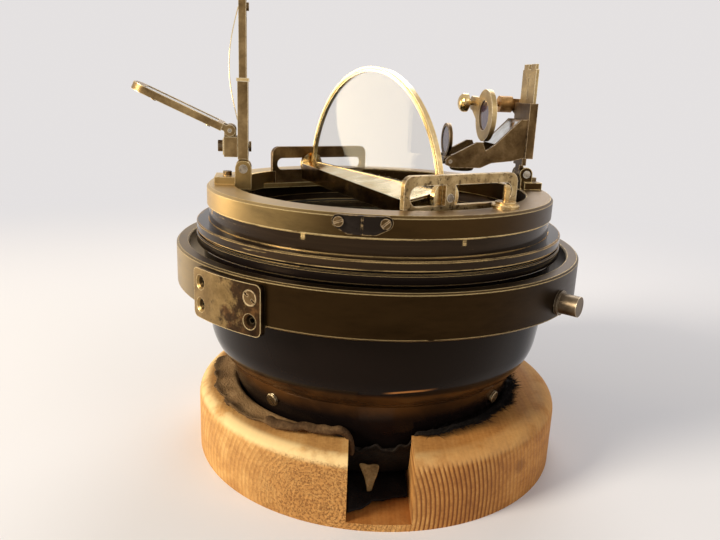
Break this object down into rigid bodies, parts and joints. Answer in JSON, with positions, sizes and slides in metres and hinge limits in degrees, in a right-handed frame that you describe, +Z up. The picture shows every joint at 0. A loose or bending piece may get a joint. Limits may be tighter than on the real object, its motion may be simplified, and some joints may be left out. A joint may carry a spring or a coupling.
{
  "type": "marine bearing compass",
  "caption": "Gimballed marine compass bowl with a rotating sighting ring, folding sight vanes and a half-round glass, seated in a lined wooden base.",
  "frame": {"origin": "on the axis of the bowl, at the underside of the wooden base", "axes": "+Z up, +X to the right and -Y towards the viewer of the picture, -Y pointing out of the notch of the base"},
  "size_m": [0.2552, 0.2344, 0.2689],
  "materials": {
    "pine_wood": "sawn pine, dark with age, worn bright on the upper edge",
    "dark_leather": "worn black-brown leather, frayed edge",
    "tan_leather": "bare tan leather scrap",
    "black_paint": "gloss black enamel on brass, worn to bare metal on the edges",
    "worn_brass": "bare brass with brown wear",
    "polished_brass": "bright brass",
    "brass": "turned brass",
    "worn_bronze": "patinated brass with dark stains",
    "gimbal_bronze": "olive brown satin metal, bright on the edges",
    "dark_bronze": "dark brown lacquered brass, worn edges",
    "chipped_black": "black paint chipped to pale brass",
    "screw_brass": "dull brass screw",
    "dark_steel": "dark turned steel",
    "pin_steel": "steel pin",
    "magnet_steel": "magnet steel",
    "lead": "cast ballast ring",
    "clear_glass": "flat clear glass",
    "tinted_glass": "flat glass, faint warm tint",
    "shade_glass": "smoked purple-grey glass",
    "mirror_glass": "silvered glass",
    "black_rubber": "flat gasket",
    "card_white": "white dial with black graduations"
  },
  "bodies": {
    "base": {"wood_base": "pine_wood", "leather_liner": "dark_leather", "liner_lip": "dark_leather", "liner_patch": "tan_leather"},
    "bowl": {"bowl_shell": "black_paint", "bottom_cap": "black_paint", "cap_screws": "screw_brass", "ballast_ring": "lead", "pivot_stem": "brass", "verge_ring": "black_paint", "cover_glass": "clear_glass", "glass_gaskets": "black_rubber", "verge_screws": "screw_brass", "bowl_pins": "brass", "lubber_post": "brass", "filler_plug": "screw_brass"},
    "card": {"compass_card": "card_white", "card_float": "brass", "card_magnets": "magnet_steel", "jewel_cap": "brass"},
    "gimbal": {"gimbal_ring": "gimbal_bronze", "bearing_plates": "worn_bronze", "plate_screws": "screw_brass", "trunnions": "dark_steel"},
    "ring": {"azimuth_ring": "worn_brass", "index_plate": "dark_bronze", "index_screws": "screw_brass", "handle_near": "chipped_black", "handle_far": "dark_bronze", "handle_screws": "screw_brass", "pin_stud": "brass", "thread_foot": "worn_brass", "eye_foot": "worn_brass", "foot_screws": "screw_brass", "hinge_pins": "pin_steel"},
    "glass": {"glass_frame": "polished_brass", "glass_pane": "tinted_glass", "glass_tray": "polished_brass", "glass_pins": "pin_steel"},
    "thread_vane": {"thread_frame": "worn_brass", "thread_ferrules": "polished_brass", "sight_wire": "polished_brass", "wire_screws": "screw_brass"},
    "slider": {"mirror_slider": "worn_brass", "slider_spring": "polished_brass", "slider_screw": "dark_steel", "guide_screw": "screw_brass", "mirror_pin": "pin_steel"},
    "mirror": {"mirror_frame": "worn_brass", "mirror_glass": "mirror_glass"},
    "eye_vane": {"eye_body": "dark_bronze", "reader_mirror": "mirror_glass", "lens_barrel": "dark_bronze", "shade_rod": "polished_brass", "small_shade_pin": "pin_steel"},
    "slit": {"slit_plate": "worn_brass"},
    "large_shade_arm": {"large_shade": "worn_brass", "large_shade_glass": "shade_glass"},
    "small_shade_arm": {"small_shade": "dark_bronze", "small_shade_glass": "shade_glass"}
  },
  "joints": [
    {"name": "bowl_lift", "type": "slide", "parent": "base", "child": "bowl", "axis": [0, 0, 1], "range_m": [0, 0.06]},
    {"name": "card_turn", "type": "hinge", "parent": "bowl", "child": "card", "pos_m": [0, 0, 0.1252], "axis": [0, 0, 1], "continuous": true},
    {"name": "gimbal_tilt", "type": "hinge", "parent": "bowl", "child": "gimbal", "pos_m": [0, 0, 0.1115], "axis": [-0.6293, -0.7771, 0], "range_deg": [-8, 8]},
    {"name": "ring_turn", "type": "hinge", "parent": "bowl", "child": "ring", "pos_m": [0, 0, 0.152], "axis": [0, 0, 1], "continuous": true},
    {"name": "glass_tilt", "type": "hinge", "parent": "ring", "child": "glass", "pos_m": [-0.00694, -0.00417, 0.1619], "axis": [0.515, -0.8572, 0], "range_deg": [-25, 88]},
    {"name": "thread_fold", "type": "hinge", "parent": "ring", "child": "thread_vane", "pos_m": [-0.07873, -0.01106, 0.1659], "axis": [-0.1392, 0.9903, 0], "range_deg": [0, 45]},
    {"name": "mirror_slide", "type": "slide", "parent": "thread_vane", "child": "slider", "axis": [0, 0, 1], "range_m": [0, 0.01]},
    {"name": "mirror_tilt", "type": "hinge", "parent": "slider", "child": "mirror", "pos_m": [-0.08586, -0.01207, 0.1869], "axis": [-0.1392, 0.9903, 0], "range_deg": [-30, 50]},
    {"name": "eye_fold", "type": "hinge", "parent": "ring", "child": "eye_vane", "pos_m": [0.08714, 0.01225, 0.1664], "axis": [-0.1392, 0.9903, 0], "range_deg": [0, 90]},
    {"name": "slit_slide", "type": "slide", "parent": "eye_vane", "child": "slit", "axis": [0, 0, 1], "range_m": [-0.015, 0]},
    {"name": "large_shade_swing", "type": "hinge", "parent": "eye_vane", "child": "large_shade_arm", "pos_m": [0.05792, 0.03338, 0.2064], "axis": [-0.9903, -0.1392, 0], "range_deg": [0, 90]},
    {"name": "small_shade_fold", "type": "hinge", "parent": "eye_vane", "child": "small_shade_arm", "pos_m": [0.03882, 0.00546, 0.1734], "axis": [0.1392, -0.9903, 0], "range_deg": [0, 80]}
  ]
}
